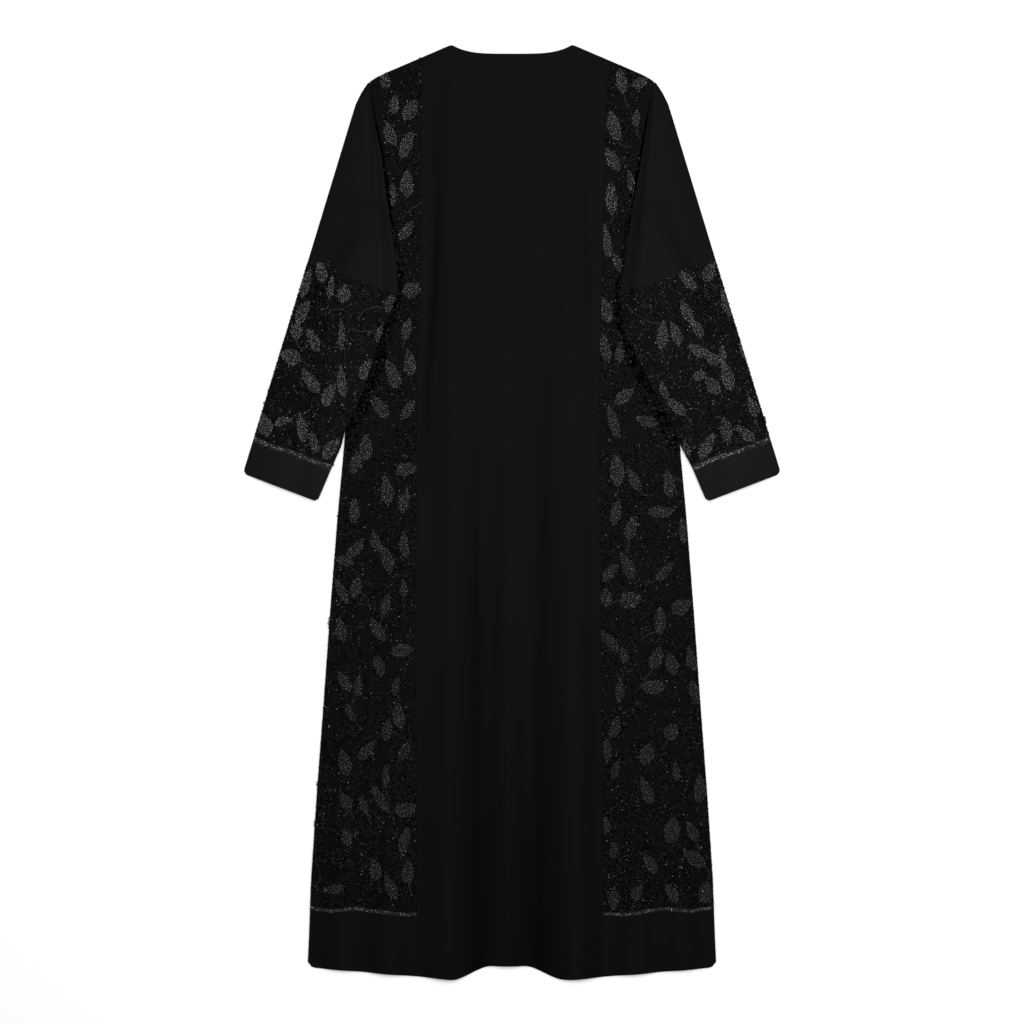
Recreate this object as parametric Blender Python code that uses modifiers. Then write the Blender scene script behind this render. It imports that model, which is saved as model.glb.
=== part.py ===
"""An open-front abaya cloak, laid flat with its back up.

+Y runs to the neck, +X to the wearer's right, and z = 0 is the surface that the cloak lies on.
Places on the cloth are given as a tailor gives them: the drop below the neck point, and the
distance out from the centre line. The two fronts lie on the surface, the back lies on them, and
each sleeve is a flattened tube that leaves the armhole and lies partly over the back.
"""

import math

import bpy
import numpy as np
from mathutils import Vector
from mathutils.geometry import delaunay_2d_cdt

MM = 0.001

# Driving dimensions
LENGTH = 1.420              # neck point to the lowest point of the hem
WALL = 1.2 * MM             # cloth
SEAM_GAP = 0.3 * MM         # between pieces that are sewn together
NECK_HALF = 92.0 * MM
BACK_NECK_DEPTH = 13.7 * MM
FRONT_NECK_DEPTH = 120.0 * MM
FRONT_PARTING = 3.0 * MM    # each front edge to the centre line
FRONT_SHORTER = 7.0 * MM    # front hem above the back hem at the centre
UNDERARM_DROP = 421.1 * MM
ARMHOLE_TURN_DROP = 270.0 * MM  # where the armhole starts to curve out to the underarm
SLEEVE_EDGE_RADIUS = 1.9 * MM   # outer radius of the fold along the sleeve
SLEEVE_CROWN = 0.032        # rise of the sleeve's middle, as a share of its width
OVER_BODY = 3.2 * MM        # underside of the sleeve where it lies over the back
BRAID_WIDTH = 7.6 * MM
BRAID_RISE = 1.0 * MM       # braid above the cloth beside it
LEAF_LENGTH = 33.0 * MM
LEAF_WIDTH = 17.0 * MM
LEAF_RISE = 1.6 * MM
LEAF_PITCH = 44.0 * MM      # from one row of leaves to the next
LEAF_ROOM = 38.0 * MM       # width of cloth that each leaf in a row takes

BACK_TOP = 2 * WALL + SEAM_GAP  # outer surface of the back where it lies on the fronts


def table(columns, rows):
    """Named columns of lengths, given in millimetres."""
    return dict(zip(columns.split(), np.array(rows, float).T * MM))


SHOULDER = table("out drop", (
    (92.0, 0.0),
    (194.6, 44.1),
    (206.8, 50.2),
    (215.9, 56.3),
))

# The seams between the centre back and the two side backs
PRINCESS = table("drop left right", (
    (0.0, 137.0, 153.6),
    (68.4, 137.0, 143.7),
    (168.8, 137.0, 139.9),
    (319.3, 137.0, 136.8),
    (539.7, 142.9, 130.7),
    (843.8, 145.9, 133.8),
    (1290.0, 144.4, 138.3),
    (1420.0, 144.4, 138.3),
))

SIDE_SEAM = table("drop out", (
    (421.1, 240.2),
    (630.9, 256.9),
    (722.0, 265.3),
    (859.0, 276.0),
    (995.8, 285.8),
    (1132.6, 296.1),
    (1269.5, 305.2),
    (1360.6, 308.6),
    (1391.1, 310.1),
))

# The sleeve's inner edge as seen from above: the armhole seam, then the edge over the back
SLEEVE_INNER = table("drop left right", (
    (56.3, 215.9, 215.9),
    (77.5, 214.8, 212.8),
    (118.6, 208.4, 205.5),
    (167.2, 198.1, 197.3),
    (228.0, 190.6, 187.0),
    (275.2, 183.2, 179.1),
    (337.9, 175.7, 171.5),
    (375.5, 173.3, 164.0),
    (405.9, 184.7, 166.5),
    (434.8, 196.7, 170.9),
    (474.3, 209.8, 189.3),
    (513.9, 222.4, 209.8),
    (547.3, 235.6, 228.0),
    (583.8, 252.5, 246.3),
    (611.2, 259.5, 256.5),
    (643.1, 273.7, 273.7),
    (692.8, 294.8, 294.8),
))

SLEEVE_OUTER = table("drop out", (
    (57.2, 218.2),
    (71.5, 228.0),
    (89.7, 237.2),
    (114.0, 244.8),
    (649.2, 405.9),
))

# Lines across the sleeve, from its outer edge to its inner edge in the upper layer (inner) and
# in the lower layer (under). edge_top is the height of the upper layer's inner edge.
SLEEVE = table("outer inner under edge_top", (
    (58.8, 62.0, 62.0, 2.7),
    (71.5, 78.0, 78.0, 2.7),
    (89.7, 101.0, 101.0, 2.7),
    (112.0, 128.0, 128.0, 2.7),
    (152.0, 172.0, 172.0, 2.7),
    (197.6, 222.0, 222.0, 2.7),
    (243.0, 272.0, 272.0, 4.3),
    (286.6, 322.0, 322.0, 4.3),
    (329.9, 380.0, 372.0, 4.3),
    (347.0, 394.0, 402.0, 4.3),
    (362.0, 408.0, 421.5, 4.3),
    (392.2, 436.0, 474.3, 4.6),
    (433.3, 474.3, 510.8, 5.9),
    (477.4, 506.0, 547.3, 5.9),
    (523.0, 547.3, 583.8, 5.9),
    (563.3, 586.0, 612.0, 5.9),
    (599.0, 643.1, 643.1, 5.9),
    (624.0, 668.0, 668.0, 5.9),
    (649.2, 692.8, 692.8, 5.9),
))
LOWER_SLEEVE_STATION = 8    # seam between the plain upper and the beaded lower sleeve
CUFF_STATION = 16           # seam between the beaded sleeve and the cuff

# The seam above the plain hem band, a little uneven
HEM_SEAM = table("out drop", (
    (130.0, 1321.0),
    (165.0, 1322.0),
    (195.0, 1317.5),
    (236.0, 1313.0),
    (275.0, 1316.0),
    (310.0, 1311.5),
))

# Soft flutes in the back: place, half width and height at the start and at the hem
FLUTES = table("start out out_hem half half_hem height height_hem", (
    (180.0, -6.0, -6.0, 24.0, 38.0, 0.5, 7.0),
    (90.0, 88.0, 101.0, 27.0, 42.0, 1.6, 8.5),
    (90.0, -88.0, -101.0, 27.0, 42.0, 1.6, 8.5),
    (640.0, 178.0, 190.0, 36.0, 40.0, 0.0, 6.5),
    (640.0, -178.0, -190.0, 36.0, 40.0, 0.0, 6.5),
    (640.0, 232.0, 262.0, 22.0, 36.0, 0.0, 5.0),
    (640.0, -232.0, -262.0, 22.0, 36.0, 0.0, 5.0),
))

CREPE = ("black_crepe", (0.0075, 0.0075, 0.008), 0.85, 0.0)
BEADED_NET = ("beaded_net", (0.022, 0.022, 0.024), 0.6, 0.0)
BEAD_BRAID = ("bead_braid", (0.11, 0.11, 0.115), 0.4, 0.3)


def smooth(share):
    share = np.clip(share, 0.0, 1.0)
    return share * share * (3 - 2 * share)


def side_name(side):
    return "right" if side > 0 else "left"


def hem_drop(x):
    """The back hem: lowest at both sides of the centre, and raised in a soft arch at the centre."""
    arch_centre, arch_inner, arch_outer, arch_height = -6 * MM, 24 * MM, 85 * MM, 20.5 * MM
    lowest_out, slant = 91 * MM, 0.084
    arch = arch_height * (1 - smooth((abs(x - arch_centre) - arch_inner) / (arch_outer - arch_inner)))
    return LENGTH - slant * max(0.0, abs(x) - lowest_out) - arch


def top_drop(x):
    """The back's upper edge: the neckline, then the shoulder."""
    out = abs(x)
    if out < NECK_HALF:
        return BACK_NECK_DEPTH * (1 - (out / NECK_HALF) ** 4)
    return float(np.interp(out, SHOULDER["out"], SHOULDER["drop"]))


def princess_out(side, drop):
    return float(np.interp(drop, PRINCESS["drop"], PRINCESS[side_name(side)]))


def inner_out(side, drop):
    return float(np.interp(drop, SLEEVE_INNER["drop"], SLEEVE_INNER[side_name(side)]))


def body_out(side, drop):
    """The body's outer edge: the armhole, its curve out to the underarm, and the side seam."""
    if drop <= ARMHOLE_TURN_DROP:
        return inner_out(side, drop)
    if drop < UNDERARM_DROP:
        turn = (drop - ARMHOLE_TURN_DROP) / (UNDERARM_DROP - ARMHOLE_TURN_DROP)
        start = inner_out(side, ARMHOLE_TURN_DROP)
        return start + (SIDE_SEAM["out"][0] - start) * (1 - math.sqrt(1 - turn * turn))
    return float(np.interp(drop, SIDE_SEAM["drop"], SIDE_SEAM["out"]))


def flutes(x, drop):
    """Height of the back's soft flutes over the fronts."""
    rise = 0.0
    for start, out, out_hem, half, half_hem, height, height_hem in zip(*FLUTES.values()):
        share = (drop - start) / (LENGTH - start)
        if share <= 0:
            continue
        middle = out + (out_hem - out) * share
        reach = half + (half_hem - half) * share
        crest = (height + (height_hem - height) * share ** 1.5) * smooth(share * 8)
        away = abs(x - middle) / reach
        if away < 1:
            rise += crest * math.cos(away * math.pi / 2) ** 2
    return rise


def place(x, drop, z):
    return Vector((x, LENGTH / 2 - drop, z))


def back_point(x, drop):
    """On the back's outer surface."""
    return place(x, drop, BACK_TOP + flutes(x, drop))


def new_collection(name):
    made = bpy.data.collections.new(name)
    bpy.context.scene.collection.children.link(made)
    return made


def material(name, colour, roughness, metallic):
    made = bpy.data.materials.get(name)
    if made is None:
        made = bpy.data.materials.new(name)
        made.use_nodes = True
        shader = made.node_tree.nodes["Principled BSDF"]
        shader.inputs["Base Color"].default_value = (*colour, 1.0)
        shader.inputs["Roughness"].default_value = roughness
        shader.inputs["Metallic"].default_value = metallic
        made.diffuse_color = (*colour, 1.0)
    return made


class Garment:
    """The collection and the empty that hold the pieces, and the ways of making one."""

    def __init__(self, name):
        self.collection = new_collection(name)
        self.origin = bpy.data.objects.new(name + "_origin", None)
        self.collection.objects.link(self.origin)

    def add(self, obj, finish):
        obj.data.materials.append(material(*finish))
        self.collection.objects.link(obj)
        obj.parent = self.origin

    def cloth(self, name, points, faces, finish, rise=None, wall=WALL):
        """A wall under an outer surface. rise gives, for each point, how far it was moved out, so that
        the inside stays plain."""
        mesh = bpy.data.meshes.new(name)
        mesh.from_pydata([tuple(p) for p in points], [], faces)
        mesh.validate()
        obj = bpy.data.objects.new(name, mesh)
        solidify = obj.modifiers.new("wall", "SOLIDIFY")
        solidify.offset = -1
        solidify.use_even_offset = True
        solidify.thickness = wall
        if rise is not None:
            thickest = wall + max(rise)
            group = obj.vertex_groups.new(name="thickness")
            for index, moved in enumerate(rise):
                group.add([index], (wall + moved) / thickest, "REPLACE")
            solidify.thickness = thickest
            solidify.vertex_group = group.name
        mesh.shade_smooth()
        self.add(obj, finish)

    def flat(self, name, outline, finish):
        """A flat wall on the surface, cut to an outline."""
        curve = bpy.data.curves.new(name, "CURVE")
        curve.dimensions = "2D"
        curve.fill_mode = "BOTH"
        curve.extrude = WALL / 2
        spline = curve.splines.new("POLY")
        spline.points.add(len(outline) - 1)
        for point, (x, drop) in zip(spline.points, outline):
            point.co = (*place(x, drop, 0), 1)
        spline.use_cyclic_u = True
        obj = bpy.data.objects.new(name, curve)
        obj.location.z = WALL / 2
        self.add(obj, finish)


def grid_faces(rows, columns, flip):
    """Quads between rows of points, facing up where rows run to the hem and columns to +X."""
    faces = []
    for i in range(rows - 1):
        for j in range(columns - 1):
            corners = [i * columns + j, (i + 1) * columns + j, (i + 1) * columns + j + 1, i * columns + j + 1]
            faces.append(corners[::-1] if flip else corners)
    return faces


def leaf_outline(along, across, angle):
    """Eight points of a pointed leaf about its middle, and two on its rib."""
    half, wide = LEAF_LENGTH / 2, LEAF_WIDTH / 2
    edge = [(half, 0), (half / 2, 0.72 * wide), (0, wide), (-half / 2, 0.72 * wide)]
    edge += [(-a, -b) for a, b in edge]
    rib = [(half * 0.45, 0), (-half * 0.45, 0)]
    turn, lean = math.cos(angle), math.sin(angle)
    return [(along + a * turn - b * lean, across + a * lean + b * turn) for a, b in edge + rib]


LEAF_EDGE_POINTS = 8
LEAF_ANGLES = (12, -28, 34, -8, 22, -38, 4, 68, -18, 30, -74, 16)   # degrees from the cloth's length


def leaf_rows(first, last, inner, outer, turn):
    """Middles and angles of leaves in rows from first to last along the cloth, between its two edges.
    Every second row is moved across by half a leaf, as leaves alternate on a stem."""
    leaves = []
    count = int((last - first) / LEAF_PITCH)
    for row in range(count):
        along = first + (row + 0.5) * (last - first) / count
        left, right = inner(along), outer(along)
        number = max(1, int((right - left) / LEAF_ROOM))
        room = (right - left) / number
        for k in range(number):
            wave = 0.16 * room * math.sin(1.7 * row + 2.3 * k + turn)
            shift = (0.5 if number == 1 else 0.5 + (0.14 if row % 2 else -0.14)) * room
            angle = LEAF_ANGLES[(5 * row + 7 * k + turn) % len(LEAF_ANGLES)]
            if right - left < 1.6 * LEAF_ROOM:
                angle *= 0.4
            leaves.append((along + 0.1 * LEAF_PITCH * math.cos(2.1 * row + 1.3 * k),
                           left + k * room + shift + wave, math.radians(angle)))
    return leaves


def fits(leaf, first, last, inner, outer):
    edge = leaf_outline(*leaf)[:LEAF_EDGE_POINTS]
    return all(first < a < last and inner(a) + LEAF_CLEAR < b < outer(a) - LEAF_CLEAR for a, b in edge)


def leafy_surface(border, grid, leaves):
    """Triangles of a sheet with its border and leaf outlines as edges. Points are (along, across).
    Returns the points, the triangles and how far each point is moved out."""
    points = list(border)
    edges = []
    rise = {}
    for leaf in leaves:
        outline = leaf_outline(*leaf)
        start = len(points)
        points += outline
        for k in range(LEAF_EDGE_POINTS):
            edges.append((start + k, start + (k + 1) % LEAF_EDGE_POINTS))
        for k in range(LEAF_EDGE_POINTS, len(outline)):
            rise[start + k] = LEAF_RISE
    clear = 0.62 * LEAF_LENGTH
    for point in grid:
        if all(math.dist(point, leaf[:2]) > clear for leaf in leaves):
            points.append(point)
    made, _, faces, origin, _, _ = delaunay_2d_cdt(
        [Vector(p) for p in points], edges, [list(range(len(border)))], 1, 1e-7)
    moved = [max((rise.get(k, 0.0) for k in ids), default=0.0) for ids in origin]
    return [tuple(p) for p in made], [list(face) for face in faces], moved


def facing_up(points, faces):
    turned = []
    for face in faces:
        a, b, c = (points[k] for k in face[:3])
        turned.append(face if (b - a).cross(c - a).z > 0 else face[::-1])
    return turned


BACK_ROWS = 24
INNER_COLUMNS = (0.14, 0.27, 0.4, 0.52)     # of the centre back, as shares of its half width
OUTER_COLUMNS = (0.79, 0.9, 1.0)
SIDE_COLUMNS = np.linspace(0, 1, 10)        # of the side back and its hem band
FLUTED_FROM = 660 * MM      # the side back needs its full grid below this drop
LEAVES_FROM = 50 * MM
LEAF_CLEAR = 3.5 * MM       # from a raised leaf to the edge of what shows
HEM_CORNER = 10 * MM
HEM_BAND_ROWS = (0.0, 0.35, 0.7, 1.0)
BRAID_PROFILE = ((-0.5, 0.6), (0.0, 1.0), (0.5, 0.6))   # place across the braid, share of its rise


def centre_place(column, row):
    """x and drop of a point of the centre back. Column -1 or 1 is a princess seam."""
    side = 1 if column > 0 else -1
    x = column * princess_out(side, 0.0)
    for _ in range(3):
        drop = top_drop(x) + (hem_drop(x) - top_drop(x)) * row / (BACK_ROWS - 1)
        x = column * (princess_out(side, drop) - SEAM_GAP / 2)
    return x, drop


def back_columns():
    """Columns of the centre back, one of them through each neck point."""
    columns = [0.0]
    for side in (-1, 1):
        neck = NECK_HALF / (princess_out(side, centre_place(side, 0)[1]) - SEAM_GAP / 2)
        columns += [side * share for share in (*INNER_COLUMNS, neck, *OUTER_COLUMNS)]
    return sorted(columns)


def make_back_centre(garment):
    columns = back_columns()
    points = [back_point(*centre_place(column, row)) for row in range(BACK_ROWS) for column in columns]
    faces = grid_faces(BACK_ROWS, len(columns), flip=False)
    garment.cloth("back_centre", points, faces, CREPE)


def side_out(side, drop, share):
    """Across the side back, from the princess seam to the side seam."""
    first = princess_out(side, drop) + SEAM_GAP / 2
    return first + (body_out(side, drop) - first) * share


def hem_seam(out):
    return float(np.interp(out, HEM_SEAM["out"], HEM_SEAM["drop"]))


def shoulder_border():
    """The shoulder beyond the centre back, as (drop, out)."""
    return list(zip(SHOULDER["drop"][1:], SHOULDER["out"][1:] - SEAM_GAP))


def armhole_border(side):
    """The armhole from the shoulder to the underarm, as (drop, out), with the gap to the sleeve."""
    straight = SLEEVE["under"][SLEEVE["under"] < ARMHOLE_TURN_DROP]
    turns = np.radians((0, 9, 19, 33, 46, 61, 75, 90))
    curved = ARMHOLE_TURN_DROP + (UNDERARM_DROP - ARMHOLE_TURN_DROP) * np.sin(turns)
    return [(drop, body_out(side, drop) - SEAM_GAP) for drop in (*straight, *curved)]


def make_back_side(garment, side):
    """The beaded side back: shoulder, armhole and side seam, down to the braid."""
    below_braid = BRAID_WIDTH / 2 + SEAM_GAP
    last = HEM_SEAM["drop"].min() - below_braid
    corner = princess_out(side, centre_place(side, 0)[1]) + SEAM_GAP / 2
    shoulder = [(top_drop(corner), corner), *shoulder_border()]
    seam = [(drop, body_out(side, drop)) for drop in np.linspace(UNDERARM_DROP, last, 16)[1:-1]]
    foot = []
    for share in SIDE_COLUMNS[::-1]:
        out = side_out(side, last, share)
        foot.append((hem_seam(out) - below_braid, out))
    seam_rows = [centre_place(side, row)[1] for row in range(1, BACK_ROWS)]
    inner = [(drop, princess_out(side, drop) + SEAM_GAP / 2)
             for drop in seam_rows[::-1] if drop < last - 10 * MM]
    border = shoulder + armhole_border(side) + seam + foot + inner

    def free_edge(drop):
        """The edge of what shows of the side back: the sleeve's edge over it, or the side seam."""
        return min(inner_out(side, drop), body_out(side, drop))

    def seam_edge(drop):
        return princess_out(side, drop)

    region = (LEAVES_FROM, last - LEAF_CLEAR, seam_edge, free_edge)
    leaves = [leaf for leaf in leaf_rows(*region, 3 if side > 0 else 0) if fits(leaf, *region)]
    grid = [(drop, side_out(side, drop, share))
            for drop in np.linspace(FLUTED_FROM, last - 30 * MM, 15) for share in SIDE_COLUMNS[1:-1]]
    grid += [(drop, side_out(side, drop, 0.5)) for drop in np.linspace(0.12, 0.6, 9)]
    plan, faces, rise = leafy_surface(border, grid, leaves)
    points = [back_point(side * out, drop) + Vector((0, 0, moved)) for (drop, out), moved in zip(plan, rise)]
    garment.cloth("back_side_" + side_name(side), points, facing_up(points, faces), BEADED_NET, rise)


def make_hem_band(garment, side):
    """The plain band below the braid, with a rounded corner at the side seam."""
    shares = (*SIDE_COLUMNS[:-1], 0.965, 1.0)
    points = []
    for row in HEM_BAND_ROWS:
        for share in shares:
            out = side_out(side, SIDE_SEAM["drop"][-2], share)
            top = hem_seam(out) + BRAID_WIDTH / 2 + SEAM_GAP
            foot = hem_drop(side * out) - (HEM_CORNER if share == 1.0 else 0.0)
            drop = top + (foot - top) * row
            points.append(back_point(side * side_out(side, drop, share), drop))
    faces = grid_faces(len(HEM_BAND_ROWS), len(shares), flip=side < 0)
    garment.cloth("hem_band_" + side_name(side), points, faces, CREPE)


def make_hem_braid(garment, side):
    """The beaded braid set between the side back and the hem band."""
    points, rise = [], []
    for across, height in BRAID_PROFILE:
        for share in SIDE_COLUMNS:
            out = side_out(side, HEM_SEAM["drop"].mean(), share)
            moved = height * BRAID_RISE
            points.append(back_point(side * out, hem_seam(out) + across * BRAID_WIDTH) + Vector((0, 0, moved)))
            rise.append(moved)
    faces = grid_faces(len(BRAID_PROFILE), len(SIDE_COLUMNS), flip=side < 0)
    garment.cloth("hem_trim_" + side_name(side), points, faces, BEAD_BRAID, rise)


def make_front(garment, side):
    """A plain front, flat on the surface: neckline, shoulder, armhole, side seam, hem, front edge."""
    outline = []
    for share in np.linspace(0, 1, 7):
        out = FRONT_PARTING + (NECK_HALF - FRONT_PARTING) * share
        outline.append((FRONT_NECK_DEPTH * (1 - share ** 2.2), out))
    outline += shoulder_border()
    outline += armhole_border(side)
    outline += list(zip(SIDE_SEAM["drop"][1:], SIDE_SEAM["out"][1:]))
    widest = SIDE_SEAM["out"][-1]
    for out in np.linspace(widest - HEM_CORNER, FRONT_PARTING, 16):
        outline.append((hem_drop(side * out) - FRONT_SHORTER * (1 - out / widest), out))
    garment.flat("front_" + side_name(side), [(side * out, drop) for drop, out in outline], CREPE)


def over_body(side, out, drop):
    """Underside of the sleeve: on the surface outside the body, and raised where it crosses the body."""
    level_to, down_at = 32 * MM, 68 * MM
    before_underarm = max(0.0, UNDERARM_DROP - 45 * MM - drop)
    away = out - max(body_out(side, drop), SIDE_SEAM["out"][0] - 0.6 * before_underarm)
    start, full = 225 * MM, 268 * MM
    return OVER_BODY * smooth((down_at - away) / (down_at - level_to)) * smooth((drop - start) / (full - start))


def station_value(name, station):
    return float(np.interp(station, range(len(SLEEVE[name])), SLEEVE[name]))


def sleeve_ends(side, station):
    """The outer end of a line across the sleeve, its inner end in the upper layer, and in the lower layer."""
    outer_drop = station_value("outer", station)
    inner_drop = station_value("inner", station)
    under_drop = station_value("under", station)
    outer = Vector((float(np.interp(outer_drop, SLEEVE_OUTER["drop"], SLEEVE_OUTER["out"])), outer_drop))
    inner = Vector((inner_out(side, inner_drop), inner_drop))
    edge_out = body_out if under_drop < UNDERARM_DROP + 1 * MM else inner_out
    under = Vector((edge_out(side, under_drop) + SEAM_GAP, under_drop))
    return outer, inner, under


def upper_point(side, station, share):
    """On the sleeve's upper layer: share runs from its inner edge to where the fold starts."""
    outer, inner, _ = sleeve_ends(side, station)
    fold_start = outer + (inner - outer).normalized() * SLEEVE_EDGE_RADIUS
    at = inner.lerp(fold_start, share)
    base = over_body(side, at.x, at.y)
    crown = SLEEVE_CROWN * (outer - inner).length * 4 * share * (1 - share)
    edge = station_value("edge_top", station)
    inner_height = edge - over_body(side, inner.x, inner.y)
    height = base + inner_height + (2 * SLEEVE_EDGE_RADIUS - inner_height) * smooth(share * 5) + crown
    return place(side * at.x, at.y, height)


UPPER_SHARES = np.array((0.0, 0.1, 0.22, 0.35, 0.48, 0.6, 0.72, 0.83, 0.92, 1.0))
FOLD_TURNS = np.radians((45, 90, 135))
UNDER_SHARES = np.array((0.0, 0.15, 0.3, 0.45, 0.6, 0.8, 1.0))


def fold_and_under(side, station):
    """The rest of a line round the sleeve: the outer fold, then the lower layer to its inner edge."""
    outer, inner, under = sleeve_ends(side, station)
    inward = (inner - outer).normalized()
    centre = outer + inward * SLEEVE_EDGE_RADIUS
    points = []
    for turn in FOLD_TURNS:
        at = centre - inward * (math.sin(turn) * SLEEVE_EDGE_RADIUS)
        points.append(place(side * at.x, at.y, SLEEVE_EDGE_RADIUS * (1 + math.cos(turn))))
    for share in UNDER_SHARES:
        at = centre.lerp(under, share)
        points.append(place(side * at.x, at.y, over_body(side, at.x, at.y)))
    return points


def sleeve_line(side, station):
    return [upper_point(side, station, share) for share in UPPER_SHARES] + fold_and_under(side, station)


def sleeve_tube(garment, name, side, stations, finish):
    """A stretch of the sleeve between two seams, as one wall folded along its outer edge."""
    lines = [sleeve_line(side, station) for station in stations]
    points = [point for line in lines for point in line]
    faces = grid_faces(len(lines), len(lines[0]), flip=side < 0)
    garment.cloth(f"{name}_{side_name(side)}", points, faces, finish)


def station_step(station, distance):
    """The station index a distance further along the sleeve's outer edge."""
    return float(np.interp(station_value("outer", station) + distance, SLEEVE["outer"],
                           range(len(SLEEVE["outer"]))))


def make_upper_sleeve(garment, side):
    last = station_step(LOWER_SLEEVE_STATION, -SEAM_GAP / 2)
    stations = list(range(LOWER_SLEEVE_STATION)) + [last]
    sleeve_tube(garment, "sleeve_upper", side, stations, CREPE)


def make_lower_sleeve(garment, side):
    """The beaded lower sleeve, with leaves raised in its upper layer."""
    first = station_step(LOWER_SLEEVE_STATION, SEAM_GAP / 2)
    last = station_step(CUFF_STATION, -BRAID_WIDTH / 2 - SEAM_GAP)
    stations = [first] + list(range(LOWER_SLEEVE_STATION + 1, CUFF_STATION)) + [last]
    length = station_value("outer", last) - station_value("outer", first)
    width = (sleeve_ends(side, first)[0] - sleeve_ends(side, first)[1]).length

    def along_of(station):
        return station_value("outer", station) - station_value("outer", first)

    def station_at(along):
        return float(np.interp(along + station_value("outer", first), SLEEVE["outer"],
                               range(len(SLEEVE["outer"]))))

    alongs = [along_of(station) for station in stations]
    border = [(0.0, share * width) for share in UPPER_SHARES]
    border += [(along, width) for along in alongs[1:-1]]
    border += [(length, share * width) for share in UPPER_SHARES[::-1]]
    border += [(along, 0.0) for along in alongs[-2:0:-1]]
    grid = [(along, share * width) for along in alongs[1:-1] for share in UPPER_SHARES[1:-1]]
    region = (LEAF_CLEAR, length - LEAF_CLEAR, lambda along: 0.0, lambda along: width)
    leaves = [leaf for leaf in leaf_rows(*region, 5 if side > 0 else 1) if fits(leaf, *region)]
    plan, faces, rise = leafy_surface(border, grid, leaves)
    points = []
    for (along, across), moved in zip(plan, rise):
        point = upper_point(side, station_at(along), min(max(across / width, 0.0), 1.0))
        point.z += moved
        points.append(point)
    faces = facing_up(points, faces)

    start = len(points)
    folded = [[upper_point(side, station, 1.0)] + fold_and_under(side, station) for station in stations]
    points += [point for line in folded for point in line]
    rest = grid_faces(len(folded), len(folded[0]), flip=side < 0)
    faces += [[start + k for k in face] for face in rest]
    rise += [0.0] * (len(points) - start)
    points, faces, rise = joined(points, faces, rise)
    garment.cloth("sleeve_lower_" + side_name(side), points, faces, BEADED_NET, rise)


def joined(points, faces, rise):
    """The same surface with points at one place made one."""
    kept, index, moved = [], {}, []
    number = []
    for point, rises in zip(points, rise):
        key = tuple(round(c / (0.01 * MM)) for c in point)
        if key not in index:
            index[key] = len(kept)
            kept.append(point)
            moved.append(rises)
        number.append(index[key])
    return kept, [[number[k] for k in face] for face in faces], moved


def make_cuff_braid(garment, side):
    """The beaded braid set between the lower sleeve and the cuff, all round the sleeve."""
    points, rise = [], []
    for across, height in BRAID_PROFILE:
        line = sleeve_line(side, station_step(CUFF_STATION, across * BRAID_WIDTH))
        for k, point in enumerate(line):
            moved = BRAID_RISE * height if k < len(UPPER_SHARES) else 0.0
            points.append(point + Vector((0, 0, moved)))
            rise.append(moved)
    faces = grid_faces(len(BRAID_PROFILE), len(line), flip=side < 0)
    garment.cloth("cuff_trim_" + side_name(side), points, faces, BEAD_BRAID, rise)


def make_cuff(garment, side):
    first = station_step(CUFF_STATION, BRAID_WIDTH / 2 + SEAM_GAP)
    stations = [first, CUFF_STATION + 1, CUFF_STATION + 2]
    sleeve_tube(garment, "cuff", side, stations, CREPE)


def main():
    for obj in list(bpy.data.objects):
        bpy.data.objects.remove(obj)
    garment = Garment("abaya_cloak")
    make_back_centre(garment)
    for side in (-1, 1):
        make_back_side(garment, side)
        make_hem_braid(garment, side)
        make_hem_band(garment, side)
        make_front(garment, side)
        make_upper_sleeve(garment, side)
        make_lower_sleeve(garment, side)
        make_cuff_braid(garment, side)
        make_cuff(garment, side)


main()
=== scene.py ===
"""The looks of the abaya cloak: fine cloth in place of each CAD piece, with its beads and braids.

Places on the cloth are given as in the part's source, which this script can't read: the drop below
the neck point, and the distance out from the centre line, in metres.
"""

import math

import bpy
import numpy as np
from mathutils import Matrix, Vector
from mathutils.bvhtree import BVHTree

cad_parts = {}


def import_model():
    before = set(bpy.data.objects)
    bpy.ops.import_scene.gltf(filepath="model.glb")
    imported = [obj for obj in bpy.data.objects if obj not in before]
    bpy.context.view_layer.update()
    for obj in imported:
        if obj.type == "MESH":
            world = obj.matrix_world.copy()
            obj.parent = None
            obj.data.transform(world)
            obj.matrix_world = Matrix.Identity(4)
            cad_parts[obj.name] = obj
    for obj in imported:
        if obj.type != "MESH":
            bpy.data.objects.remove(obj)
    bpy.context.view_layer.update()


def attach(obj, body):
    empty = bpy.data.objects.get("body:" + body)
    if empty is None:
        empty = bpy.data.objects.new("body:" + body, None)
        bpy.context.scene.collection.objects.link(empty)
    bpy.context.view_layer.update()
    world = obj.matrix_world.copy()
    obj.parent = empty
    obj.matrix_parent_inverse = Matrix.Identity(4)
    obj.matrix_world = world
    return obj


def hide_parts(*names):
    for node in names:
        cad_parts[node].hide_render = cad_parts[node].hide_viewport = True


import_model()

MM = 0.001
LENGTH = 1.420
WALL = 1.2 * MM
SEAM_GAP = 0.3 * MM
NECK_HALF = 92.0 * MM
BACK_NECK_DEPTH = 13.7 * MM
FRONT_NECK_DEPTH = 120.0 * MM
FRONT_PARTING = 3.0 * MM
FRONT_SHORTER = 7.0 * MM
UNDERARM_DROP = 421.1 * MM
ARMHOLE_TURN_DROP = 270.0 * MM
SLEEVE_EDGE_RADIUS = 1.9 * MM
SLEEVE_CROWN = 0.032
OVER_BODY = 3.2 * MM
BRAID_WIDTH = 7.6 * MM
BRAID_HALF = BRAID_WIDTH / 2 + SEAM_GAP
CUFF_CORNER = 8.0 * MM
BACK_TOP = 2 * WALL + SEAM_GAP


def table(columns, rows):
    """Named columns of lengths, given in millimetres."""
    return dict(zip(columns.split(), np.array(rows, float).T * MM))


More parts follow.
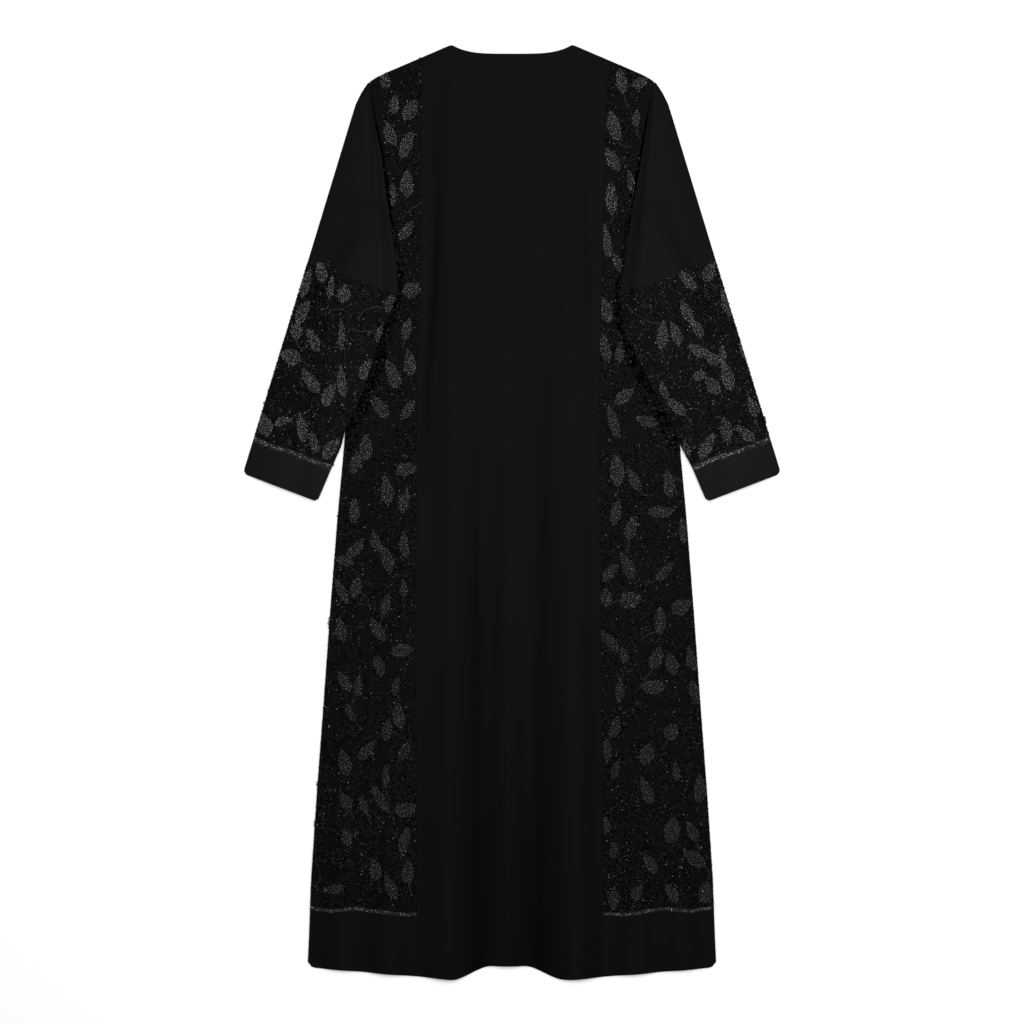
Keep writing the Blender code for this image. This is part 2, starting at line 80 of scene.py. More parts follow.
SHOULDER = table("out drop", (
    (92.0, 0.0), (194.6, 44.1), (206.8, 50.2), (215.9, 56.3)))

PRINCESS = table("drop left right", (
    (0.0, 137.0, 153.6), (68.4, 137.0, 143.7), (168.8, 137.0, 139.9), (319.3, 137.0, 136.8),
    (539.7, 142.9, 130.7), (843.8, 145.9, 133.8), (1290.0, 144.4, 138.3), (1420.0, 144.4, 138.3)))

SIDE_SEAM = table("drop out", (
    (421.1, 240.2), (630.9, 256.9), (722.0, 265.3), (859.0, 276.0), (995.8, 285.8),
    (1132.6, 296.1), (1269.5, 305.2), (1360.6, 308.6), (1391.1, 310.1)))

SLEEVE_INNER = table("drop left right", (
    (56.3, 215.9, 215.9), (77.5, 214.8, 212.8), (118.6, 208.4, 205.5), (167.2, 198.1, 197.3),
    (228.0, 190.6, 187.0), (275.2, 183.2, 179.1), (337.9, 175.7, 171.5), (375.5, 173.3, 164.0),
    (405.9, 184.7, 166.5), (434.8, 196.7, 170.9), (474.3, 209.8, 189.3), (513.9, 222.4, 209.8),
    (547.3, 235.6, 228.0), (583.8, 252.5, 246.3), (611.2, 259.5, 256.5), (643.1, 273.7, 273.7),
    (692.8, 294.8, 294.8)))

SLEEVE_OUTER = table("drop out", (
    (57.2, 218.2), (71.5, 228.0), (89.7, 237.2), (114.0, 244.8), (340.0, 313.4), (651.4, 408.8)))

SLEEVE = table("outer inner under edge_top", (
    (57.4, 59.0, 59.0, 2.7), (71.5, 78.0, 78.0, 2.7), (89.7, 101.0, 101.0, 2.7),
    (112.0, 128.0, 128.0, 2.7), (152.0, 172.0, 172.0, 2.7), (197.6, 222.0, 222.0, 2.7),
    (243.0, 272.0, 272.0, 4.3), (286.6, 322.0, 322.0, 4.3), (329.9, 380.0, 372.0, 4.3),
    (347.0, 394.0, 402.0, 4.3), (362.0, 408.0, 421.5, 4.3), (392.2, 436.0, 474.3, 4.6),
    (433.3, 474.3, 510.8, 5.9), (477.4, 506.0, 547.3, 5.9), (523.0, 547.3, 583.8, 5.9),
    (563.3, 586.0, 612.0, 5.9), (599.0, 643.1, 643.1, 5.9), (624.0, 668.0, 668.0, 5.9),
    (651.4, 694.8, 694.8, 5.9)))
LOWER_SLEEVE_STATION = 8
UNDERARM_STATION = 10
CUFF_STATION = 16
LAST_STATION = 18

HEM_SEAM = table("out drop", (
    (130.0, 1321.0), (165.0, 1322.0), (195.0, 1317.5), (236.0, 1313.0), (275.0, 1316.0),
    (310.0, 1311.5)))

FLUTES = table("start out out_hem half half_hem height height_hem", (
    (180.0, -6.0, -6.0, 24.0, 38.0, 0.5, 7.0),
    (90.0, 88.0, 101.0, 27.0, 42.0, 1.6, 8.5),
    (90.0, -88.0, -101.0, 27.0, 42.0, 1.6, 8.5),
    (640.0, 178.0, 190.0, 36.0, 40.0, 0.0, 6.5),
    (640.0, -178.0, -190.0, 36.0, 40.0, 0.0, 6.5),
    (640.0, 232.0, 262.0, 22.0, 36.0, 0.0, 5.0),
    (640.0, -232.0, -262.0, 22.0, 36.0, 0.0, 5.0)))

# Fine creases of the cloth: soft ridges along a line, with the height in the middle of the line
CREASES = table("drop out drop_end out_end half height", (
    (110.0, 112.0, 560.0, 115.0, 11.0, 0.9),
    (50.0, -102.0, 600.0, -124.0, 12.0, 1.3),
    (500.0, 40.0, 1415.0, 44.0, 16.0, 0.3),
    (620.0, -50.0, 1415.0, -58.0, 14.0, 0.3),
    (60.0, 70.0, 420.0, 84.0, 20.0, 0.4),
    (60.0, -66.0, 460.0, -84.0, 20.0, 0.4),
    (30.0, 10.0, 330.0, -4.0, 26.0, 0.3),
    (820.0, 160.0, 1310.0, 163.0, 9.0, 1.0),
    (760.0, -166.0, 1310.0, -170.0, 9.0, 1.0),
    (900.0, 214.0, 1400.0, 228.0, 12.0, 1.2),
    (860.0, -214.0, 1400.0, -226.0, 12.0, 1.2)))

# Painted shade in the hollows of the centre back between its ridges, and painted light on two flanks:
# a line through three places, with the half width and the depth of tone, in thousandths, at each
PAINTED_SHADE_LINES = table("drop out half tone drop_2 out_2 half_2 tone_2 drop_3 out_3 half_3 tone_3", (
    (420.0, -60.0, 14.0, 0.0, 900.0, -56.0, 21.0, 900.0, 1420.0, -52.0, 27.0, 880.0),
    (250.0, 53.0, 12.0, 176.0, 800.0, 49.0, 19.0, 950.0, 1420.0, 43.0, 27.0, 950.0),
    (50.0, -101.0, 9.0, 350.0, 440.0, -117.0, 13.0, 1000.0, 660.0, -134.0, 12.0, 280.0),
    (90.0, 113.0, 9.0, 235.0, 400.0, 113.0, 12.0, 530.0, 620.0, 118.0, 12.0, 0.0),
    (1000.0, 10.0, 20.0, 0.0, 1250.0, 14.0, 24.0, 320.0, 1420.0, 14.0, 24.0, 320.0),
    (560.0, -112.0, 14.0, -55.0, 900.0, -117.0, 16.0, -600.0, 1420.0, -120.0, 18.0, -350.0),
    (440.0, 80.0, 16.0, -175.0, 900.0, 85.0, 16.0, -560.0, 1420.0, 88.0, 18.0, -260.0)))


def smooth(share):
    share = np.clip(share, 0.0, 1.0)
    return share * share * (3 - 2 * share)


def side_name(side):
    return "right" if side > 0 else "left"


def hem_drop(x):
    arch_centre, arch_inner, arch_outer, arch_height = -6 * MM, 24 * MM, 85 * MM, 20.5 * MM
    lowest_out, slant = 91 * MM, 0.084
    away = (np.abs(x - arch_centre) - arch_inner) / (arch_outer - arch_inner)
    arch = arch_height * (1 - smooth(away))
    return LENGTH - slant * np.maximum(0.0, np.abs(x) - lowest_out) - arch


def top_drop(x):
    out = np.abs(x)
    neck = BACK_NECK_DEPTH * (1 - (out / NECK_HALF) ** 4)
    return np.where(out < NECK_HALF, neck, np.interp(out, SHOULDER["out"], SHOULDER["drop"]))


def princess_out(side, drop):
    return np.interp(drop, PRINCESS["drop"], PRINCESS[side_name(side)])


def inner_out(side, drop):
    return np.interp(drop, SLEEVE_INNER["drop"], SLEEVE_INNER[side_name(side)])


def body_out(side, drop):
    turn = np.clip((drop - ARMHOLE_TURN_DROP) / (UNDERARM_DROP - ARMHOLE_TURN_DROP), 0.0, 1.0)
    start = inner_out(side, ARMHOLE_TURN_DROP)
    curve = start + (SIDE_SEAM["out"][0] - start) * (1 - np.sqrt(1 - turn * turn))
    seam = np.interp(drop, SIDE_SEAM["drop"], SIDE_SEAM["out"])
    above = np.where(drop <= ARMHOLE_TURN_DROP, inner_out(side, drop), curve)
    return np.where(drop < UNDERARM_DROP, above, seam)


def hem_seam(out):
    return np.interp(out, HEM_SEAM["out"], HEM_SEAM["drop"])


def flutes(x, drop):
    rise = np.zeros_like(x)
    for start, out, out_hem, half, half_hem, height, height_hem in zip(*FLUTES.values()):
        share = np.maximum(0.0, (drop - start) / (LENGTH - start))
        middle = out + (out_hem - out) * share
        reach = half + (half_hem - half) * share
        crest = (height + (height_hem - height) * share ** 1.5) * smooth(share * 8)
        away = np.minimum(1.0, np.abs(x - middle) / reach)
        rise += crest * np.cos(away * math.pi / 2) ** 2
    return rise


def creases(x, drop):
    rise = np.zeros_like(x)
    for index, (first, out, last, out_end, half, height) in enumerate(zip(*CREASES.values())):
        share = np.clip((drop - first) / (last - first), 0.0, 1.0)
        middle = out + (out_end - out) * share + 2.5 * MM * np.sin(drop * 17 + 2.1 * index)
        away = np.minimum(1.0, np.abs(x - middle) / half)
        ends = smooth(share * 5) * smooth((1 - share) * 12)
        rise += height * ends * np.cos(away * math.pi / 2) ** 2
    return rise


# Painted shade in the hollows and painted light on two flanks of the centre back, as a tone per point
def painted_shade_tone(x, drop):
    tone = np.zeros_like(x)
    for row in zip(*PAINTED_SHADE_LINES.values()):
        places = np.array(row).reshape(3, 4)
        middle, half, depth = (np.interp(drop, places[:, 0], places[:, k]) for k in (1, 2, 3))
        away = np.minimum(1.0, np.abs(x - middle) / (1.25 * half))
        ends = (drop > places[0, 0]) & (drop < places[2, 0] + 20 * MM)
        tone += depth * ends * np.cos(away * math.pi / 2) ** 2
    return np.minimum(tone, 1.0)


def back_height(x, drop):
    return BACK_TOP + flutes(x, drop) + creases(x, drop)


GARMENT = bpy.data.collections.new("abaya_looks")
bpy.context.scene.collection.children.link(GARMENT)


# Materials

def new_material(name, colour, roughness, metallic=0.0, specular=0.5):
    made = bpy.data.materials.new(name)
    made.use_nodes = True
    shader = made.node_tree.nodes["Principled BSDF"]
    shader.inputs["Base Color"].default_value = (*colour, 1.0)
    shader.inputs["Roughness"].default_value = roughness
    shader.inputs["Metallic"].default_value = metallic
    shader.inputs["Specular IOR Level"].default_value = specular
    return made


def add_grain(made, scale, strength, distance):
    """A fine uneven grain, as a bump."""
    nodes, links = made.node_tree.nodes, made.node_tree.links
    place = nodes.new("ShaderNodeTexCoord")
    noise = nodes.new("ShaderNodeTexNoise")
    noise.inputs["Scale"].default_value = scale
    noise.inputs["Detail"].default_value = 2.0
    bump = nodes.new("ShaderNodeBump")
    bump.inputs["Strength"].default_value = strength
    bump.inputs["Distance"].default_value = distance
    links.new(place.outputs["Object"], noise.inputs["Vector"])
    links.new(noise.outputs["Fac"], bump.inputs["Height"])
    links.new(bump.outputs["Normal"], nodes["Principled BSDF"].inputs["Normal"])


def paint_shade_and_light(made):
    """Painted shade and light: less base colour in the mesh's own measure of its hollows, more on flanks.
    """
    nodes, links = made.node_tree.nodes, made.node_tree.links
    painted_shade = nodes.new("ShaderNodeAttribute")
    painted_shade.attribute_name = "painted_shade"
    base = nodes["Principled BSDF"].inputs["Base Color"]
    full = base.default_value[0]
    less = nodes.new("ShaderNodeMath")
    less.operation = "MULTIPLY_ADD"
    less.inputs[1].default_value, less.inputs[2].default_value = -full, full
    links.new(painted_shade.outputs["Fac"], less.inputs[0])
    links.new(less.outputs[0], base)


CREPE = new_material("crepe", (0.0016, 0.0016, 0.0016), 0.5, specular=0.0225)
add_grain(CREPE, 900.0, 0.3, 0.2 * MM)
# Painted shade and light in the crepe's base colour, from the tone each mesh point carries
paint_shade_and_light(CREPE)
# Lighter copies of the body's crepe, painted light: sleeves, cuffs and hem bands, the first two glossier
SLEEVE_CREPE_LIT = new_material("sleeve_crepe_painted_light", (0.0024, 0.0024, 0.0024), 0.5, specular=0.0245)
add_grain(SLEEVE_CREPE_LIT, 900.0, 0.3, 0.2 * MM)
CUFF_CREPE_LIT = new_material("cuff_crepe_painted_light", (0.0028, 0.0028, 0.0028), 0.5, specular=0.035)
add_grain(CUFF_CREPE_LIT, 900.0, 0.3, 0.2 * MM)
HEM_CREPE_LIT = new_material("hem_crepe_painted_light", (0.0018, 0.0018, 0.0018), 0.5, specular=0.023)
add_grain(HEM_CREPE_LIT, 900.0, 0.3, 0.2 * MM)
# The cloth under the beads, darker than the crepe: painted shade between the close beads
SHADED_NET = new_material("net_on_crepe_painted_shade", (0.001, 0.001, 0.001), 0.5, specular=0.0225)
add_grain(SHADED_NET, 700.0, 0.5, 0.3 * MM)
TAPE = new_material("braid_tape", (0.0035, 0.0035, 0.0035), 0.6, specular=0.04)
SILVER = [new_material("silver_bead_bright", (0.24, 0.24, 0.24), 0.28, 0.9),
          new_material("silver_bead", (0.13, 0.13, 0.13), 0.3, 0.9),
          new_material("silver_bead_dark", (0.055, 0.055, 0.055), 0.33, 0.9)]
JET = [new_material("jet_bead", (0.0002, 0.0002, 0.0002), 0.3, specular=0.0),
       new_material("jet_bead_grey", (0.003, 0.003, 0.003), 0.3, specular=0.13)]
BRAID = [new_material("braid_bead_bright", (0.34, 0.34, 0.34), 0.25, 0.9),
         new_material("braid_bead", (0.13, 0.13, 0.13), 0.3, 0.9),
         new_material("braid_bead_dark", (0.035, 0.035, 0.035), 0.35, 0.9)]


# Cloth

def world(x, drop, z):
    return np.stack([x, LENGTH / 2 - drop, z], axis=-1)


def grid_faces(rows, columns, flip):
    corner = np.arange((rows - 1) * columns).reshape(rows - 1, columns)[:, :-1].ravel()
    faces = np.stack([corner, corner + columns, corner + columns + 1, corner + 1], axis=1)
    return faces[:, ::-1] if flip else faces


def cloth(name, grid, flip, finish, node):
    """A wall of cloth under a grid of points, in place of a CAD node."""
    rows, columns = grid.shape[:2]
    mesh = bpy.data.meshes.new(name)
    mesh.from_pydata(grid.reshape(-1, 3).tolist(), [], grid_faces(rows, columns, flip).tolist())
    mesh.materials.append(finish)
    mesh.shade_smooth()
    ends = np.empty(len(mesh.edges) * 2, int)
    mesh.edges.foreach_get("vertices", ends)
    row, column = np.divmod(ends.reshape(-1, 2), columns)
    rim = [(row == 0), (row == rows - 1), (column == 0), (column == columns - 1)]
    rim = np.any([at.all(axis=1) for at in rim], axis=0)
    mesh.attributes.new("sharp_edge", "BOOLEAN", "EDGE").data.foreach_set("value", rim)
    obj = bpy.data.objects.new(name, mesh)
    GARMENT.objects.link(obj)
    wall = obj.modifiers.new("wall", "SOLIDIFY")
    wall.offset = -1
    wall.use_even_offset = True
    wall.thickness = WALL
    normals = obj.modifiers.new("normals", "WEIGHTED_NORMAL")
    normals.weight = 95
    normals.keep_sharp = True
    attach(obj, "root")
    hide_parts(node)
    return obj


def spread(base, shares, top, bottom, top_zone, bottom_zone, inner, outer):
    """x and drop of a grid. Its rows run level at the drops of base, and bend to the top and the
    bottom line within the two zones. Its columns share out the width from inner to outer."""
    base, shares = np.meshgrid(base, shares, indexing="ij")
    first, last = base[0, 0], base[-1, 0]
    near_top = np.clip((top_zone - base) / (top_zone - first), 0.0, 1.0)
    near_bottom = np.clip((base - bottom_zone) / (last - bottom_zone), 0.0, 1.0)
    drop = base
    for _ in range(6):
        x = inner(drop) + (outer(drop) - inner(drop)) * shares
        drop = base + (top(x) - first) * near_top + (bottom(x) - last) * near_bottom
    return x, drop


def steps(first, last, size):
    return np.linspace(first, last, max(2, int(round((last - first) / size)) + 1))


def make_back_centre():
    shares = steps(0.0, 1.0, 1 / 56)
    x, drop = spread(steps(0.0, LENGTH, 6 * MM), shares, top_drop, hem_drop, 0.2, 1.25,
                     lambda drop: -princess_out(-1, drop) + SEAM_GAP / 6,
                     lambda drop: princess_out(1, drop) - SEAM_GAP / 6)
    grid = world(x, drop, back_height(x, drop))
    back = cloth("cloth_back_centre", grid, False, CREPE, "back_centre")
    # The tone of painted shade and light at each point, for the crepe's base colour
    painted_shade = back.data.attributes.new("painted_shade", "FLOAT", "POINT")
    painted_shade.data.foreach_set("value", painted_shade_tone(x, drop).ravel())


def signed_grid(side, x, drop, height):
    return world(side * x, drop, height(side * x, drop))


def make_back_side(side):
    rows = np.concatenate([steps(0.02, 0.40, 6 * MM), steps(0.404, UNDERARM_DROP, 3 * MM),
                           steps(UNDERARM_DROP + 5 * MM, 1.31, 6 * MM)])
    x, drop = spread(rows, steps(0.0, 1.0, 1 / 28), top_drop,
                     lambda x: hem_seam(x) - BRAID_HALF, 0.12, 1.27,
                     lambda drop: princess_out(side, drop) + SEAM_GAP / 6,
                     lambda drop: body_out(side, drop))
    grid = signed_grid(side, x, drop, back_height)
    name = "back_side_" + side_name(side)
    return cloth("cloth_" + name, grid, side < 0, SHADED_NET, name)


def make_hem_band(side):
    x, drop = spread(steps(1.32, 1.41, 6 * MM), steps(0.0, 1.0, 1 / 28),
                     lambda x: hem_seam(x) + BRAID_HALF, rounded_hem, 1.365, 1.365,
                     lambda drop: princess_out(side, drop) + SEAM_GAP / 6,
                     lambda drop: body_out(side, drop))
    grid = signed_grid(side, x, drop, back_height)
    name = "hem_band_" + side_name(side)
    return cloth("cloth_" + name, grid, side < 0, HEM_CREPE_LIT, name)


def rounded_hem(x):
    """The hem with its corner at the side seam rounded off."""
    corner_from, corner_width, corner_height = 0.298, 12 * MM, 9 * MM
    near = np.clip((np.abs(x) - corner_from) / corner_width, 0.0, 1.0)
    return hem_drop(x) - corner_height * (1 - np.sqrt(1 - near * near * 0.99))


def make_front(side):
    rows = np.concatenate([steps(0.02, 0.40, 8 * MM), steps(0.404, UNDERARM_DROP, 3 * MM),
                           steps(UNDERARM_DROP + 5 * MM, 1.40, 8 * MM)])

    def top(x):
        share = np.clip((x - FRONT_PARTING) / (NECK_HALF - FRONT_PARTING), 0.0, 1.0)
        return np.where(x < NECK_HALF, FRONT_NECK_DEPTH * (1 - share ** 2.2),
                        np.interp(x, SHOULDER["out"], SHOULDER["drop"]))

    def bottom(x):
        return rounded_hem(side * x) - FRONT_SHORTER * (1 - x / SIDE_SEAM["out"][-1])

    x, drop = spread(rows, steps(0.0, 1.0, 1 / 40), top, bottom, 0.26, 1.3,
                     lambda drop: np.full_like(drop, FRONT_PARTING), lambda drop: body_out(side, drop))
    grid = world(side * x, drop, np.full_like(x, WALL))
    name = "front_" + side_name(side)
    front = cloth("cloth_" + name, grid, side < 0, CREPE, name)


# Sleeves

def over_body(side, out, drop):
    """How high the sleeve's lower layer lies: on the body, and down to the surface beside it."""
    level_to, down_at = 32 * MM, 68 * MM
    before_underarm = np.maximum(0.0, UNDERARM_DROP - 45 * MM - drop)
    away = out - np.maximum(body_out(side, drop), SIDE_SEAM["out"][0] - 0.6 * before_underarm)
    start, full = 225 * MM, 268 * MM
    level = smooth((down_at - away) / (down_at - level_to))
    return OVER_BODY * level * smooth((drop - start) / (full - start))


def station_value(name, station):
    return float(np.interp(station, range(len(SLEEVE[name])), SLEEVE[name]))


def station_step(station, distance):
    return float(np.interp(station_value("outer", station) + distance, SLEEVE["outer"],
                           range(len(SLEEVE["outer"]))))


def under_edge(side, station):
    """The inner edge of the sleeve's lower layer: by the armhole to the underarm, then its own seam."""
    passed = station - UNDERARM_STATION
    if 0 < passed < 1:
        before, after = (under_edge(side, UNDERARM_STATION + k) for k in (0, 1))
        return before * (1 - passed) + after * passed
    drop = station_value("under", station)
    edge_out = body_out if passed <= 0 else inner_out
    return np.array([edge_out(side, drop) + SEAM_GAP, drop])


def round_cuff(outer, inner, under, outer_drop):
    """The ends of a line across the sleeve, drawn in where it passes the cuff's rounded corners."""
    slant = math.radians(16.8)
    to_edge = (SLEEVE["outer"][-1] - outer_drop) / math.cos(slant)
    near = min(1.0, max(0.0, 1 - to_edge / CUFF_CORNER))
    drawn_in = CUFF_CORNER * (1 - math.sqrt(1 - near * near * 0.98))
    inward = (inner - outer) / np.linalg.norm(inner - outer)
    return outer + inward * drawn_in, inner - inward * drawn_in, under - inward * drawn_in


def sleeve_line(side, station, upper=44, under_steps=26):
    """Points round the sleeve: its upper layer from the inner edge, the outer fold, its lower layer."""
    outer_drop, inner_drop = station_value("outer", station), station_value("inner", station)
    outer = np.array([np.interp(outer_drop, SLEEVE_OUTER["drop"], SLEEVE_OUTER["out"]), outer_drop])
    inner = np.array([inner_out(side, inner_drop), inner_drop])
    under = under_edge(side, station)
    outer, inner, under = round_cuff(outer, inner, under, outer_drop)
    inward = (inner - outer) / np.linalg.norm(inner - outer)
    centre = outer + inward * SLEEVE_EDGE_RADIUS

    share = np.linspace(0.0, 1.0, upper)[:, None]
    at = inner + (centre - inner) * share
    share = share[:, 0]
    crown = SLEEVE_CROWN * np.linalg.norm(outer - inner) * 4 * share * (1 - share)
    inner_height = station_value("edge_top", station) - over_body(side, inner[0], inner[1])
    height = (over_body(side, at[:, 0], at[:, 1]) + inner_height
              + (2 * SLEEVE_EDGE_RADIUS - inner_height) * smooth(share * 5) + crown
              + sleeve_crease(share, station))
    line = [world(side * at[:, 0], at[:, 1], height)]

    turn = np.linspace(0.0, math.pi, 9)[1:-1]
    at = centre - inward * (np.sin(turn) * SLEEVE_EDGE_RADIUS)[:, None]
    line.append(world(side * at[:, 0], at[:, 1], SLEEVE_EDGE_RADIUS * (1 + np.cos(turn))))

    at = centre + (under - centre) * np.linspace(0.0, 1.0, under_steps)[:, None]
    line.append(world(side * at[:, 0], at[:, 1], over_body(side, at[:, 0], at[:, 1])))
    return np.concatenate(line)


def sleeve_crease(share, station):
    """A crease along the armhole seam, and soft waves over the beaded length."""
    def ridge(height, middle, half):
        return height * np.exp(-((share - middle) / half) ** 2)

    armhole = ridge(0.8 * MM, 0.2, 0.07) * smooth(station / 4) * smooth((8.5 - station) / 3)
    wave = 0.9 * MM * math.sin(1.9 * station) * np.sin(math.pi * share) ** 2
    wave = wave * smooth((station - 8) / 3) * smooth((16 - station) / 2)
    cuff = ridge(0.7 * MM, 0.35 + 0.12 * (station - 16), 0.12) * smooth((station - 15) / 2)
    return armhole + wave + cuff


def sleeve_piece(side, part, first, last, finish):
    drops = steps(station_value("outer", first), station_value("outer", last), 5 * MM)
    if last == LAST_STATION:
        near_end = CUFF_CORNER * np.array([0.8, 0.6, 0.4, 0.25, 0.12, 0.04, 0.0])
        drops = np.unique(np.r_[drops[:-1], drops[-1] - near_end])
    stations = np.interp(drops, SLEEVE["outer"], range(len(SLEEVE["outer"])))
    grid = np.stack([sleeve_line(side, station) for station in stations])
    name = part + "_" + side_name(side)
    return cloth("cloth_" + name, grid, side < 0, finish, name)


# Beads

class Ground:
    """Cloth that beads are set on, seen from above."""

    def __init__(self, *objects):
        graph = bpy.context.evaluated_depsgraph_get()
        self.trees = [BVHTree.FromObject(obj, graph) for obj in objects]

    def at(self, x, y):
        for tree in self.trees:
            hit, normal, _, _ = tree.ray_cast(Vector((x, y, 0.1)), Vector((0, 0, -1)))
            if hit is not None and normal.z > 0.5:
                return hit, normal
        return None


def dome(sides, rings):
    """Points and faces of an open round bead. rings gives the radius and height of each ring."""
    turns = np.arange(sides) * 2 * math.pi / sides
    points = [(r * math.cos(t), r * math.sin(t), z) for r, z in rings for t in turns]
    points.append((0.0, 0.0, 1.0))
    faces = []
    for ring in range(len(rings) - 1):
        for k in range(sides):
            a, b = ring * sides + k, ring * sides + (k + 1) % sides
            faces += [(a, b, b + sides), (a, b + sides, a + sides)]
    last = (len(rings) - 1) * sides
    faces += [(last + k, last + (k + 1) % sides, last + sides) for k in range(sides)]
    return np.array(points), np.array(faces)


def bar():
    """A short open stroke, three faces round and pointed at both ends."""
    points = [(x, y, z) for x in (-0.8, 0.8) for y, z in ((-1, 0), (-0.45, 0.9), (0.45, 0.9), (1, 0))]
    points += [(-1.0, 0.0, 0.1), (1.0, 0.0, 0.1)]
    faces = []
    for k in range(3):
        faces += [(k, k + 4, k + 5), (k, k + 5, k + 1)]
        faces += [(k, k + 1, 8), (k + 5, k + 4, 9)]
    return np.array(points, float), np.array(faces)


ROUND_BEAD = dome(6, [(1.0, 0.0), (0.86, 0.55)])
SEED_BEAD = dome(4, [(1.0, 0.0)])
FINE_BEAD = dome(8, [(1.0, 0.0), (0.92, 0.42), (0.6, 0.8)])
STROKE = bar()


class Beading:
    """Beads gathered for one joined mesh: place, normal, direction, half sizes and tone."""

    def __init__(self, name, template, tones, slot):
        self.name, self.template, self.tones, self.slot = name, template, tones, slot
        self.rows = []

    def add(self, ground, x, y, angle, sizes, tone):
        found = ground.at(x, y)
        if found is not None:
            hit, normal = found
            self.rows.append((*hit, *normal, math.cos(angle), math.sin(angle), *sizes, tone))

    def build(self):
        rows = np.array(self.rows)
        points, faces = self.template
        normal = rows[:, 3:6]
        along = np.stack([rows[:, 6], rows[:, 7], np.zeros(len(rows))], axis=1)
        along -= normal * np.sum(along * normal, axis=1)[:, None]
        along /= np.linalg.norm(along, axis=1)[:, None]
        across = np.cross(normal, along)
        spots = (rows[:, None, 0:3] + points[None, :, 0, None] * (along * rows[:, 8:9])[:, None]
                 + points[None, :, 1, None] * (across * rows[:, 9:10])[:, None]
                 + points[None, :, 2, None] * (normal * rows[:, 10:11])[:, None])
        spots[:, :, 2] = np.maximum(spots[:, :, 2], 0.05 * MM)
        corners = faces[None] + (np.arange(len(rows)) * len(points))[:, None, None]
        mesh = bpy.data.meshes.new(self.name)
        mesh.from_pydata(spots.reshape(-1, 3).tolist(), [], corners.reshape(-1, 3).tolist())
        for tone in self.tones:
            mesh.materials.append(tone)
        mesh.polygons.foreach_set("material_index", np.repeat(rows[:, 11].astype(int), len(faces)))
        mesh.shade_smooth()
        obj = bpy.data.objects.new(self.name, mesh)
        GARMENT.objects.link(obj)
        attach(obj, "root")
        return obj


